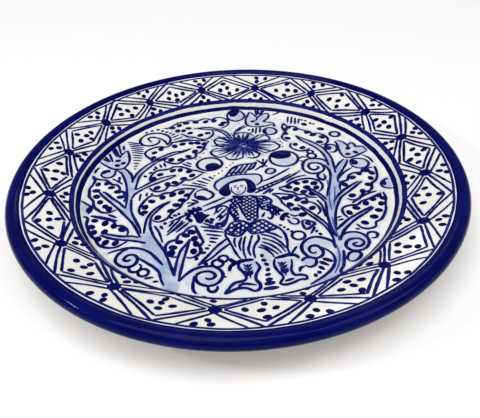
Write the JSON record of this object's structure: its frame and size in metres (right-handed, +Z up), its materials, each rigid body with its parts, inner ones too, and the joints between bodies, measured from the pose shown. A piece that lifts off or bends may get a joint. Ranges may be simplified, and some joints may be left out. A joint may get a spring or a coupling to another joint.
{
  "type": "hand painted ceramic plate",
  "caption": "Round glazed earthenware plate with a rolled blue rim, sloping border, shallow flat well and foot ring, painted in blue on white.",
  "frame": {"origin": "centre of the foot ring, on the plane that the plate stands on", "axes": "+Z up through the plate's centre; the painted scene stands upright along +Y for someone at -Y; +X to that person's right"},
  "size_m": [0.3, 0.3, 0.0282],
  "materials": {
    "clay": "matt unglazed earthenware",
    "cobalt_rim": "glossy dark cobalt glaze",
    "white_glaze": "glossy warm white tin glaze",
    "cobalt_paint": "glossy cobalt brushwork under a clear glaze"
  },
  "bodies": {
    "root": {"clay_body": "clay", "rim_glaze": "cobalt_rim", "face_glaze": "white_glaze", "back_glaze": "white_glaze", "recess_glaze": "white_glaze", "border_line": "cobalt_paint", "well_ring_outer": "cobalt_paint", "well_ring_inner": "cobalt_paint"}
  },
  "joints": []
}
